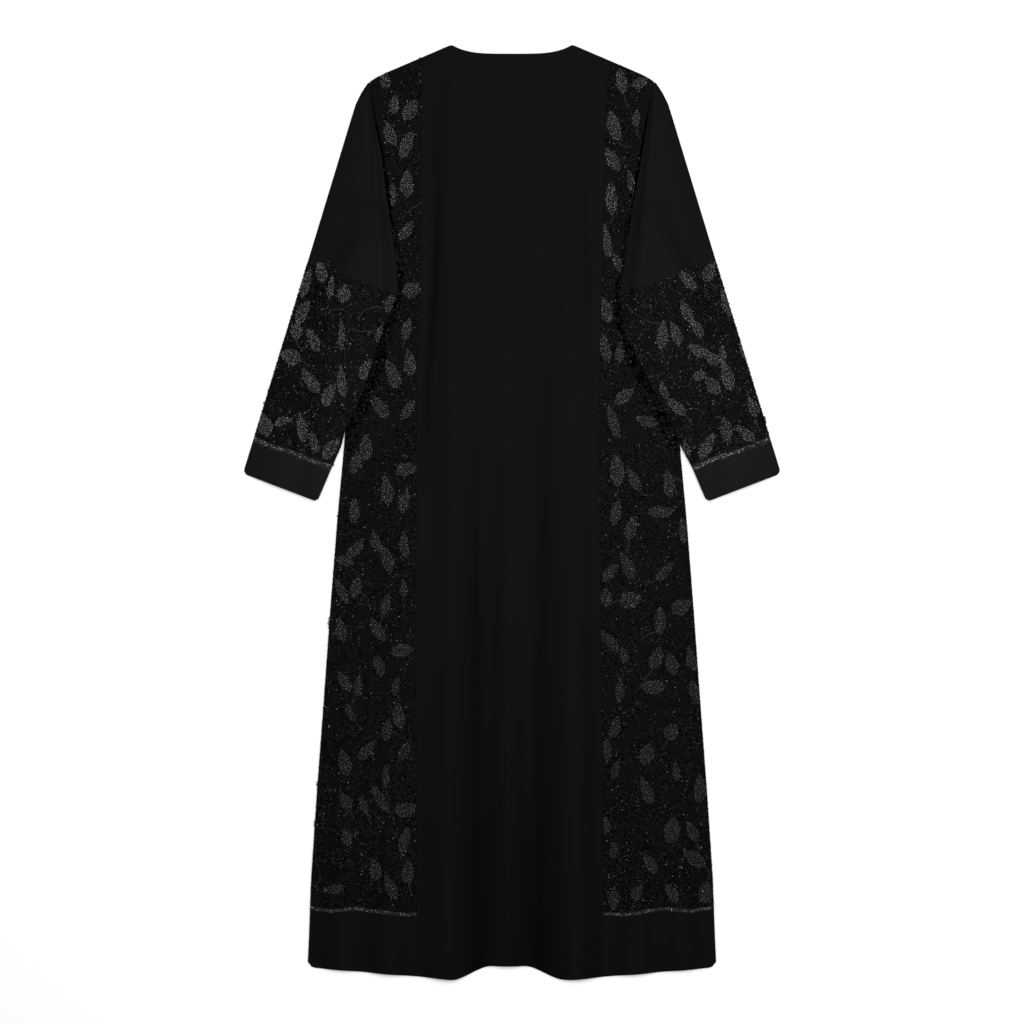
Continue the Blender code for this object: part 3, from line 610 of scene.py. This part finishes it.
# Leaves of silver beads on each panel, in millimetres: x and drop of the middle, lean of the top
# to +X in degrees, half length and half width
LEAVES = {
    "back_left": (
        (-193, 53, -20, 14, 8), (-179, 91, 5, 15, 7), (-154, 99, 30, 18, 11), (-187, 134, -25, 21, 9),
        (-160, 151, 22, 23, 9), (-160, 211, 0, 21, 10), (-181, 227, 0, 20, 5), (-160, 283, 38, 18, 8),
        (-151, 372, 70, 17, 11), (-181, 500, -20, 24, 10), (-155, 483, -5, 21, 9),
        (-160, 432, 15, 18, 8), (-201, 550, -35, 21, 10), (-158, 555, 35, 18, 7), (-222, 613, 5, 21, 10),
        (-237, 635, 15, 18, 8), (-160, 645, 80, 18, 10), (-190, 677, -8, 23, 10), (-164, 693, 12, 20, 8),
        (-239, 708, 0, 20, 8), (-208, 753, -15, 18, 7), (-237, 765, 40, 20, 8), (-164, 760, -5, 21, 7),
        (-190, 780, -20, 23, 9), (-255, 784, -70, 15, 8), (-237, 824, 15, 18, 8),
        (-260, 829, -25, 24, 6), (-164, 826, 0, 14, 6), (-192, 850, 15, 18, 8), (-260, 889, -10, 20, 9),
        (-204, 889, -30, 20, 8), (-167, 920, 80, 18, 10), (-202, 943, -20, 17, 8),
        (-255, 967, -30, 18, 8), (-234, 973, 5, 18, 6), (-176, 973, 10, 17, 6), (-172, 1019, -8, 21, 9),
        (-246, 1014, -25, 17, 6), (-190, 1041, 10, 17, 8), (-220, 1072, 40, 20, 8),
        (-163, 1073, 25, 15, 8), (-254, 1090, -15, 21, 10), (-192, 1110, 0, 17, 6),
        (-201, 1145, -35, 23, 8), (-252, 1151, -25, 17, 8), (-161, 1162, 80, 18, 11),
        (-225, 1155, -20, 15, 6), (-163, 1207, 15, 20, 8), (-251, 1203, -20, 15, 7),
        (-208, 1253, -8, 18, 9), (-158, 1257, 0, 18, 10), (-184, 1279, -25, 21, 8),
        (-269, 1283, 80, 17, 7)),
    "back_right": (
        (166, 55, -8, 20, 8), (195, 58, 60, 14, 8), (154, 123, -15, 24, 10), (152, 175, -28, 21, 9),
        (151, 233, -4, 26, 9), (143, 298, -8, 26, 8), (181, 208, -12, 17, 6), (189, 111, 5, 15, 6),
        (160, 330, -25, 18, 6), (141, 401, -22, 24, 10), (141, 461, -12, 23, 8), (164, 467, 8, 17, 7),
        (170, 534, 50, 20, 9), (204, 572, -75, 18, 8), (154, 573, -15, 27, 8), (160, 646, -3, 26, 11),
        (185, 660, -28, 21, 8), (239, 667, -5, 21, 9), (158, 710, 12, 21, 8), (181, 734, 15, 20, 9),
        (227, 710, 88, 21, 9), (261, 737, -5, 20, 7), (176, 792, -25, 23, 9), (233, 800, 42, 20, 7),
        (149, 801, 42, 18, 8), (181, 844, 80, 17, 13), (143, 839, 0, 15, 8), (258, 854, 60, 17, 12),
        (225, 874, 0, 21, 9), (147, 906, -40, 21, 8), (170, 927, -10, 14, 6), (219, 932, 18, 18, 10),
        (243, 941, -15, 18, 9), (272, 933, -12, 20, 7), (213, 976, -85, 20, 11), (164, 981, 3, 20, 7),
        (277, 984, -18, 21, 8), (157, 1038, 22, 17, 8), (242, 1043, 30, 14, 11), (205, 1078, 12, 17, 11),
        (144, 1072, 0, 18, 6), (157, 1102, 12, 15, 6), (249, 1104, -5, 15, 6), (204, 1133, -20, 23, 8),
        (286, 1130, 0, 23, 9), (143, 1186, 0, 14, 6), (243, 1193, 8, 21, 12), (274, 1195, -25, 18, 8),
        (277, 1236, -55, 21, 10), (210, 1244, -28, 18, 8), (155, 1224, 5, 14, 7), (155, 1297, 3, 18, 8),
        (190, 1288, 28, 15, 7), (243, 1289, -32, 18, 8), (295, 1288, 2, 18, 11)),
    "sleeve_left": (
        (-290, 345, -12, 20, 9), (-254, 379, 10, 14, 10), (-275, 369, 8, 20, 5), (-313, 362, 16, 26, 7),
        (-184, 394, 0, 14, 9), (-318, 406, 25, 20, 9), (-328, 433, 5, 15, 9), (-301, 448, -25, 20, 9),
        (-258, 441, 0, 26, 5), (-201, 439, 15, 15, 6), (-336, 474, -70, 17, 12), (-306, 511, -35, 24, 9),
        (-258, 512, -6, 26, 7), (-278, 532, 25, 20, 9), (-222, 493, 22, 18, 9), (-374, 578, -10, 18, 11),
        (-318, 582, -10, 24, 8), (-348, 572, 70, 15, 6), (-301, 605, -20, 18, 7), (-275, 613, 35, 20, 9)),
    "sleeve_right": (
        (266, 359, -40, 20, 8), (299, 345, 25, 18, 9), (324, 392, -18, 24, 7), (265, 407, -25, 20, 8),
        (228, 441, 3, 24, 8), (249, 439, -20, 20, 8), (281, 432, -30, 17, 8), (280, 464, -50, 15, 8),
        (301, 476, -50, 17, 9), (327, 503, -15, 24, 10), (319, 470, 0, 15, 6), (284, 503, 60, 11, 8),
        (304, 518, -40, 17, 10), (249, 550, -45, 20, 8), (230, 526, -25, 15, 6), (325, 585, -10, 20, 9),
        (354, 591, -50, 20, 8), (295, 611, 25, 24, 9), (265, 614, -15, 14, 5), (366, 550, -20, 18, 8),
        (351, 464, -20, 18, 5))}
# Thin curved stems of dull beads, in millimetres: x and drop of both ends, and how far the middle rises
VINES = {
    "sleeve_left": ((-281, 409, -243, 412, 8), (-231, 412, -196, 401, 6), (-246, 433, -204, 433, -3)),
    "sleeve_right": ((179, 401, 225, 424, -6), (289, 623, 310, 594, 4), (262, 556, 292, 560, 5)),
    "back_left": ((-166, 263, -140, 243, 3), (-238, 830, -216, 846, 4)),
    "back_right": ((226, 655, 262, 668, 6), (196, 905, 226, 893, 5))}
LEAF_GRID = 2.5 * MM
JET_PITCH = 2.15 * MM


def leaf_width(share):
    """Half width of a leaf, as a share, from its stalk at -1 to its point at 1."""
    return np.maximum(0.0, 1 - np.abs(share) ** 2.2) ** 0.8 * (1 - 0.22 * share)


def new_leaf(kind, x, y, lean, half, wide, bend):
    return {"kind": kind, "x": x, "y": y, "angle": math.radians(90 - lean),
            "half": half, "wide": wide, "bend": bend}


def panel_leaves(rng, name, region, count, room):
    """The silver leaves of a panel, and bare ones and ones of strokes scattered between them."""
    leaves = []
    for x, drop, lean, half, wide in LEAVES[name]:
        bend = rng.uniform(-2.0, 2.0) * MM
        y = LENGTH / 2 - drop * MM
        leaves.append(new_leaf("silver", x * MM, y, lean, half * MM, wide * MM, bend))
    (x0, x1), (y0, y1), inside = region
    for _ in range(count * 60):
        if len(leaves) == len(LEAVES[name]) + count:
            break
        x, y = rng.uniform(x0, x1), rng.uniform(y0, y1)
        lean = rng.normal(0.0, 28.0) if rng.random() > 0.3 else rng.uniform(-90.0, 90.0)
        kind = rng.choice(("bare", "strokes"), p=(0.46, 0.54))
        if not inside(x, y):
            continue
        if any(math.hypot(1.2 * (x - leaf["x"]), 0.85 * (y - leaf["y"])) < room for leaf in leaves):
            continue
        half, wide = rng.uniform(12, 19) * MM, rng.uniform(6.5, 9.5) * MM
        leaves.append(new_leaf(kind, x, y, lean, half, wide, 0.0))
    return leaves


def on_leaf(leaf, along, across):
    turn, lean = math.cos(leaf["angle"]), math.sin(leaf["angle"])
    across = across + leaf["bend"] * (along / leaf["half"]) ** 2
    return leaf["x"] + along * turn - across * lean, leaf["y"] + along * lean + across * turn


def in_leaf(x, y, leaf, grow):
    turn, lean = math.cos(leaf["angle"]), math.sin(leaf["angle"])
    dx, dy = x - leaf["x"], y - leaf["y"]
    along, across = dx * turn + dy * lean, -dx * lean + dy * turn
    share = along / (leaf["half"] * grow)
    return np.abs(across - leaf["bend"] * share * share) < leaf["wide"] * grow * leaf_width(share)


def bead_panel(name, ground, region, seed, count, room, spark_count, tones, painted_shadow, jets):
    """Leaves of silver beads, leaves of strokes, bare leaves, stems, black beads and sparkle. tones
    gives the shares of bright and dull beads at a drop, painted_shadow that of close black beads in a
    painted shadow at a place, and jets those of black, grey, silver and dull silver between the leaves."""
    rng = np.random.default_rng(seed)
    (x0, x1), (y0, y1), inside = region
    leaves = panel_leaves(rng, name, region, count, room)
    silver = Beading("beads_leaf_" + name, ROUND_BEAD, SILVER, "beaded_net")
    jet = Beading("beads_jet_" + name, SEED_BEAD, JET + SILVER[1:], "beaded_net")
    strokes = Beading("bugles_" + name, STROKE, JET, "beaded_net")
    sparks = Beading("sparkle_" + name, FINE_BEAD, SILVER[:2], "beaded_net")

    def set_leaf(leaf):
        share, dull = tones(LENGTH / 2 - leaf["y"])
        for row, along in enumerate(np.arange(-leaf["half"], leaf["half"], 0.87 * LEAF_GRID)):
            for across in np.arange(-leaf["wide"] * 1.2, leaf["wide"] * 1.2, LEAF_GRID):
                a = along + rng.uniform(-0.3, 0.3) * LEAF_GRID
                b = across + row % 2 * 0.5 * LEAF_GRID + rng.uniform(-0.3, 0.3) * LEAF_GRID
                x, y = on_leaf(leaf, a, b)
                if abs(b) > leaf["wide"] * leaf_width(a / leaf["half"]) or not inside(x, y):
                    continue
                # No silver beads in the painted shadow along the sleeve
                if rng.random() < painted_shadow(x, y):
                    continue
                size = rng.uniform(0.68, 0.94) * MM
                tone = rng.choice(3, p=(share, 1 - share - dull, dull))
                silver.add(ground, x, y, rng.uniform(0, 6.3), (size, size, size), tone)
        if rng.random() < 0.4:
            set_stem(leaf)

    def set_stem(leaf):
        bend = rng.uniform(-0.1, 0.1)
        size = 0.68 * MM
        for k in range(1, int(rng.uniform(6, 12))):
            far = 2.2 * MM * k
            x, y = on_leaf(leaf, -leaf["half"] - far * math.cos(bend * k), far * math.sin(bend * k))
            if inside(x, y):
                jet.add(ground, x, y, 0.0, (size, size, size), 3)

    def set_strokes(leaf):
        radius = rng.uniform(14, 40) * MM * rng.choice((-1, 1))
        reach = rng.uniform(3.4, 5.0) * MM
        for k, along in enumerate(np.arange(-1.3 * leaf["half"], 1.3 * leaf["half"], 1.7 * MM)):
            turn = along / radius
            x, y = on_leaf(leaf, radius * math.sin(turn), radius * (1 - math.cos(turn)))
            if inside(x, y):
                strokes.add(ground, x, y, leaf["angle"] + math.pi / 2 + turn + rng.normal(0, 0.12),
                            (reach * rng.uniform(0.6, 1.1), 0.62 * MM, 0.7 * MM), k % 2)

    for x0_mm, drop0, x1_mm, drop1, rise in VINES[name]:
        for share in steps(0.0, 1.0, 1.7 / math.hypot(x1_mm - x0_mm, drop1 - drop0)):
            x = (x0_mm + (x1_mm - x0_mm) * share) * MM
            y = LENGTH / 2 - (drop0 + (drop1 - drop0) * share - 4 * rise * share * (1 - share)) * MM
            if inside(x, y):
                jet.add(ground, x, y, 0.0, (0.62 * MM,) * 3, 3)

    for leaf in leaves:
        if leaf["kind"] == "silver":
            set_leaf(leaf)
        elif leaf["kind"] == "strokes":
            set_strokes(leaf)

    number = int((x1 - x0) * (y1 - y0) / (JET_PITCH * JET_PITCH))
    x, y = rng.uniform(x0, x1, number), rng.uniform(y0, y1, number)
    free, in_painted_shadow = inside(x, y), rng.random(number) < painted_shadow(x, y)
    kept_clear = {"silver": 1.04, "bare": 1.0, "strokes": 0.8}
    for leaf in leaves:
        free &= in_painted_shadow | ~in_leaf(x, y, leaf, kept_clear[leaf["kind"]])
    # In the painted shadow along the sleeve, close black beads and short black strokes
    for x, y, black in zip(x[free], y[free], in_painted_shadow[free]):
        if black and rng.random() < 0.7:
            long, wide = rng.uniform(1.6, 2.5) * MM, rng.uniform(1.3, 1.9) * MM
            strokes.add(ground, x, y, rng.uniform(0, 6.3), (long, wide, 0.5 * MM), 0)
        size = rng.uniform(0.7, 1.15) * MM
        tone = rng.choice(4, p=(0.6, 0.33, 0.02, 0.05) if black else jets)
        jet.add(ground, x, y, rng.uniform(0, 6.3), (size, size, size), tone)

    for _ in range(spark_count):
        x, y = rng.uniform(x0, x1), rng.uniform(y0, y1)
        if inside(x, y):
            size = rng.uniform(0.8, 1.2) * MM
            sparks.add(ground, x, y, 0.0, (size, size, size), rng.choice(2, p=(0.5, 0.5)))
    return [beading.build() for beading in (silver, jet, strokes, sparks) if beading.rows]


BEAD_CLEAR = 0.2 * MM       # from the middle of a bead to the edge of its cloth

# Shares of black, grey, silver and dull silver beads between the leaves
BACK_JETS = (0.64, 0.335, 0.005, 0.02)
# More grey and silver beads on the sleeves than on the backs, most on the right sleeve: painted light
SLEEVE_JETS_LIT = {"left": (0.53, 0.42, 0.01, 0.04), "right": (0.45, 0.49, 0.01, 0.05)}


def side_region(side):
    """Where the beads of a side back are seen: from the princess seam to the sleeve or side seam."""
    def inside(x, y):
        out, drop = side * x, LENGTH / 2 - y
        sleeve = np.where(drop < SLEEVE_INNER["drop"][-1], inner_out(side, drop) - 1.5 * MM, 1.0)
        edge = np.minimum(sleeve, body_out(side, drop) - BEAD_CLEAR)
        plain = np.interp(drop, (0.06, 0.075, 0.17, 0.18), (0.208, 0.195, 0.195, 1.0))
        edge = np.minimum(edge, plain + 2 * MM * np.sin(drop * 300))
        return (princess_out(side, drop) + 1.0 * MM < out) & (out < edge)
    xs = sorted((side * 0.128, side * 0.312))
    return xs, (LENGTH / 2 - 1.318, LENGTH / 2 - 0.01), inside


def sleeve_painted_shadow(side):
    """Painted shadow of the sleeve on the body: the share of close black beads and strokes in a band
    along the sleeve's inner edge.
    """
    def painted_shadow(x, y):
        out, drop = side * x, LENGTH / 2 - y
        wide = np.interp(drop, (0.12, 0.22, 0.30, 0.37, 0.43, 0.50, 0.56),
                         (0.003, 0.007, 0.009, 0.011, 0.017, 0.026, 0.029))
        near = smooth((out - inner_out(side, drop) + wide) / (0.7 * wide))
        return near * np.interp(drop, (0.1, 0.22, 0.44, 0.57, 0.63), (0.3, 0.7, 0.85, 0.75, 0.0))
    return painted_shadow


# Upper edge of the beads on the sleeve, which follows the leaves
SLEEVE_BEADS_FROM = table("out left right", (
    (160.0, 376.0, 376.0), (181.0, 372.0, 370.0), (204.0, 370.0, 364.0), (225.0, 357.0, 358.0),
    (238.0, 369.0, 352.0), (256.0, 361.0, 345.0), (272.0, 332.0, 338.0), (287.0, 328.0, 329.0),
    (310.0, 330.0, 329.0), (330.0, 333.0, 331.0)))


def sleeve_region(side):
    """The beaded part of a sleeve's upper layer."""
    def inside(x, y):
        out, drop = side * x, LENGTH / 2 - y
        first = np.interp(out, SLEEVE_BEADS_FROM["out"], SLEEVE_BEADS_FROM[side_name(side)])
        return drop > first + 2 * MM * np.sin(out * 330)
    xs = sorted((side * 0.16, side * 0.41))
    return xs, (LENGTH / 2 - 0.66, LENGTH / 2 - 0.325), inside


def make_armhole_shadow(side, back):
    """A painted shadow of the crease along the armhole seam, in short black strokes on the body's edge.
    """
    rng = np.random.default_rng(51 + side)
    line = Beading("painted_shadow_armhole_" + side_name(side), STROKE, JET[:1], "black_crepe")
    ground = Ground(back)
    for drop in steps(0.088, 0.40, 3.5 * MM):
        ahead = body_out(side, drop + 3 * MM) - body_out(side, drop - 3 * MM)
        out = body_out(side, drop) - 1.6 * MM
        wide = (0.7 + 1.3 * smooth((drop - 0.085) / 0.06)) * rng.uniform(0.75, 1.15) * MM
        line.add(ground, side * float(out), LENGTH / 2 - drop, math.atan2(-6 * MM, side * float(ahead)),
                 (3.4 * MM, wide, 0.25 * MM), 0)
    return line.build()


def make_edge_beads(name, side, line, height, sizes, seed):
    """Beads that stand out a little past an edge. line gives the edge's out at a drop."""
    rng = np.random.default_rng(seed)
    beads = Beading("beads_edge_" + name, ROUND_BEAD, JET, "beaded_net")
    first, last, out_at = line
    drop = first
    while drop < last:
        out, ahead = float(out_at(drop)), float(out_at(drop + 1 * MM))
        lean = math.atan2(ahead - out, 1 * MM)
        size = rng.uniform(*sizes) * MM
        outward = side * math.cos(lean), math.sin(lean), 0.0
        beads.rows.append((side * out, LENGTH / 2 - drop, height, *outward, 0.0, 1.0,
                           size, size, size, rng.choice(2, p=(0.6, 0.4))))
        drop += rng.uniform(2.5, 9.0) * MM
    return beads.build()


def make_braid(name, ground, lines, seed, shares):
    """Rows of beads along lines, a little uneven, in shares of bright, middle and dull ones."""
    rng = np.random.default_rng(seed)
    braid = Beading(name, FINE_BEAD, BRAID, "bead_braid")
    for index, line in enumerate(lines):
        distances = np.cumsum(np.r_[0, np.linalg.norm(np.diff(line, axis=0), axis=1)])
        for distance in np.arange(1.0 * MM, distances[-1], 2.2 * MM):
            wave = 0.9 * MM * math.sin(distance * 90 + seed)
            wave += 0.4 * MM * math.sin(distance * 310 + 1.3 * index)
            x = float(np.interp(distance, distances, line[:, 0])) + rng.normal(0, 0.2 * MM)
            y = float(np.interp(distance, distances, line[:, 1])) + rng.normal(0, 0.2 * MM) + wave
            size = rng.uniform(0.85, 1.1) * MM
            braid.add(ground, x, y, 0.0, (size, size, size), rng.choice(3, p=shares))
    return braid.build()


def make_hem_braid(side):
    """The tape over the hem band's seam, and its beads."""
    rows = steps(-0.5, 0.5, 0.1) * BRAID_WIDTH
    first = princess_out(side, HEM_SEAM["drop"].mean()) + SEAM_GAP / 6
    out = first + (body_out(side, HEM_SEAM["drop"].mean()) - first) * steps(0.0, 1.0, 1 / 40)
    out = np.broadcast_to(out, (len(rows), len(out)))
    drop = hem_seam(out) + rows[:, None]
    grid = world(side * out, drop, back_height(side * out, drop))
    grid[:, :, 2] += 0.5 * MM * np.cos(rows / BRAID_WIDTH * math.pi)[:, None]
    name = side_name(side)
    tape = cloth("braid_hem_" + name, grid, side < 0, TAPE, "hem_trim_" + name)
    lines = [grid[k, :, :2] for k in (3, 6)]
    shares = 0.06, 0.24, 0.7
    return [tape, make_braid("braid_beads_hem_" + name, Ground(tape), lines, 31 + side, shares)]


def make_cuff_braid(side):
    """The tape over the cuff's seam, all round, and its beads on the upper layer."""
    stations = [station_step(CUFF_STATION, share * BRAID_WIDTH) for share in steps(-0.5, 0.5, 0.1)]
    grid = np.stack([sleeve_line(side, station) for station in stations])
    name = side_name(side)
    tape = cloth("braid_cuff_" + name, grid, side < 0, TAPE, "cuff_trim_" + name)
    lines = [grid[k, 1:46, :2] for k in (3, 5, 7)]
    # More bright beads in the right cuff's braid than in the left's: painted light from the right
    shares = (0.2, 0.42, 0.38) if side > 0 else (0.11, 0.33, 0.56)
    return [tape, make_braid("braid_beads_cuff_" + name, Ground(tape), lines, 41 + side, shares)]


def back_tones_shaded_to_hem(drop):
    """Shares of bright and dull beads in a side back's leaves, duller towards the hem as painted shade.
    """
    return (float(np.interp(drop, (0.15, 0.55, 0.9), (0.2, 0.06, 0.01))),
            float(np.interp(drop, (0.2, 0.6, 1.0), (0.2, 0.5, 0.85))))


def sleeve_tones(drop):
    return 0.24, 0.16


def dress_body(side):
    """A front, the side back over it with its beads, and the hem band. Returns the side back."""
    name = side_name(side)
    make_front(side)
    back = make_back_side(side)
    beads = bead_panel("back_" + name, Ground(back), side_region(side), 11 + side, 70, 20 * MM, 36,
                       back_tones_shaded_to_hem, sleeve_painted_shadow(side), BACK_JETS)
    line = 0.64, 1.31, lambda drop: body_out(side, drop)
    beads.append(make_edge_beads("back_" + name, side, line, 1.6 * MM, (0.6, 0.95), 71 + side))
    make_hem_band(side)
    make_hem_braid(side)
    return back


def dress_sleeve(side, back):
    name = side_name(side)
    cuff_from = station_step(CUFF_STATION, BRAID_HALF)
    sleeve_to = station_step(CUFF_STATION, -BRAID_HALF)

    upper = sleeve_piece(side, "sleeve_upper", 0, LOWER_SLEEVE_STATION, SLEEVE_CREPE_LIT)
    make_armhole_shadow(side, back)
    lower = sleeve_piece(side, "sleeve_lower", LOWER_SLEEVE_STATION, sleeve_to, SHADED_NET)
    beads = bead_panel("sleeve_" + name, Ground(lower, upper), sleeve_region(side), 21 + side, 40,
                       20 * MM, 40, sleeve_tones, lambda x, y: np.zeros_like(x), SLEEVE_JETS_LIT[name])
    line = 0.334, 0.592, lambda drop: np.interp(drop, SLEEVE_OUTER["drop"], SLEEVE_OUTER["out"])
    beads.append(make_edge_beads("sleeve_" + name, side, line, SLEEVE_EDGE_RADIUS, (0.7, 1.2),
                                 61 + side))
    cuff = sleeve_piece(side, "cuff", cuff_from, LAST_STATION, CUFF_CREPE_LIT)
    make_cuff_braid(side)


def make_all():
    make_back_centre()
    for side in (-1, 1):
        dress_sleeve(side, dress_body(side))


# Stage

def make_stage():
    mesh = bpy.data.meshes.new("floor")
    mesh.from_pydata([(-6, -6, 0), (6, -6, 0), (6, 6, 0), (-6, 6, 0)], [], [(0, 1, 2, 3)])
    mesh.materials.append(new_material("pale_floor", (0.774, 0.774, 0.774), 0.9, specular=0.1))
    floor = bpy.data.objects.new("floor", mesh)
    bpy.context.scene.collection.objects.link(floor)

    sky = bpy.data.worlds.new("studio")
    sky.use_nodes = True
    sky.node_tree.nodes["Background"].inputs["Color"].default_value = (1, 1, 1, 1)
    sky.node_tree.nodes["Background"].inputs["Strength"].default_value = 0.72
    bpy.context.scene.world = sky

    key = bpy.data.lights.new("key", "AREA")
    key.shape = "SQUARE"
    key.size = 1.9
    key.energy = 74.0
    lamp = bpy.data.objects.new("key", key)
    lamp.location = (0.28, 0.48, 2.8)
    lamp.rotation_euler = (lamp.location - Vector((0.0, 0.1, 0.0))).to_track_quat("Z", "Y").to_euler()
    lamp.visible_camera = False
    bpy.context.scene.collection.objects.link(lamp)


def make_camera():
    across, lens, sensor = 1.5568, 85.0, 36.0
    view = bpy.data.cameras.new("camera")
    view.lens, view.sensor_width = lens, sensor
    camera = bpy.data.objects.new("camera", view)
    camera.location = (0, 0, across * lens / sensor)
    bpy.context.scene.collection.objects.link(camera)
    bpy.context.scene.camera = camera
    bpy.context.scene.view_settings.view_transform = "Standard"


make_camera()
make_all()
make_stage()
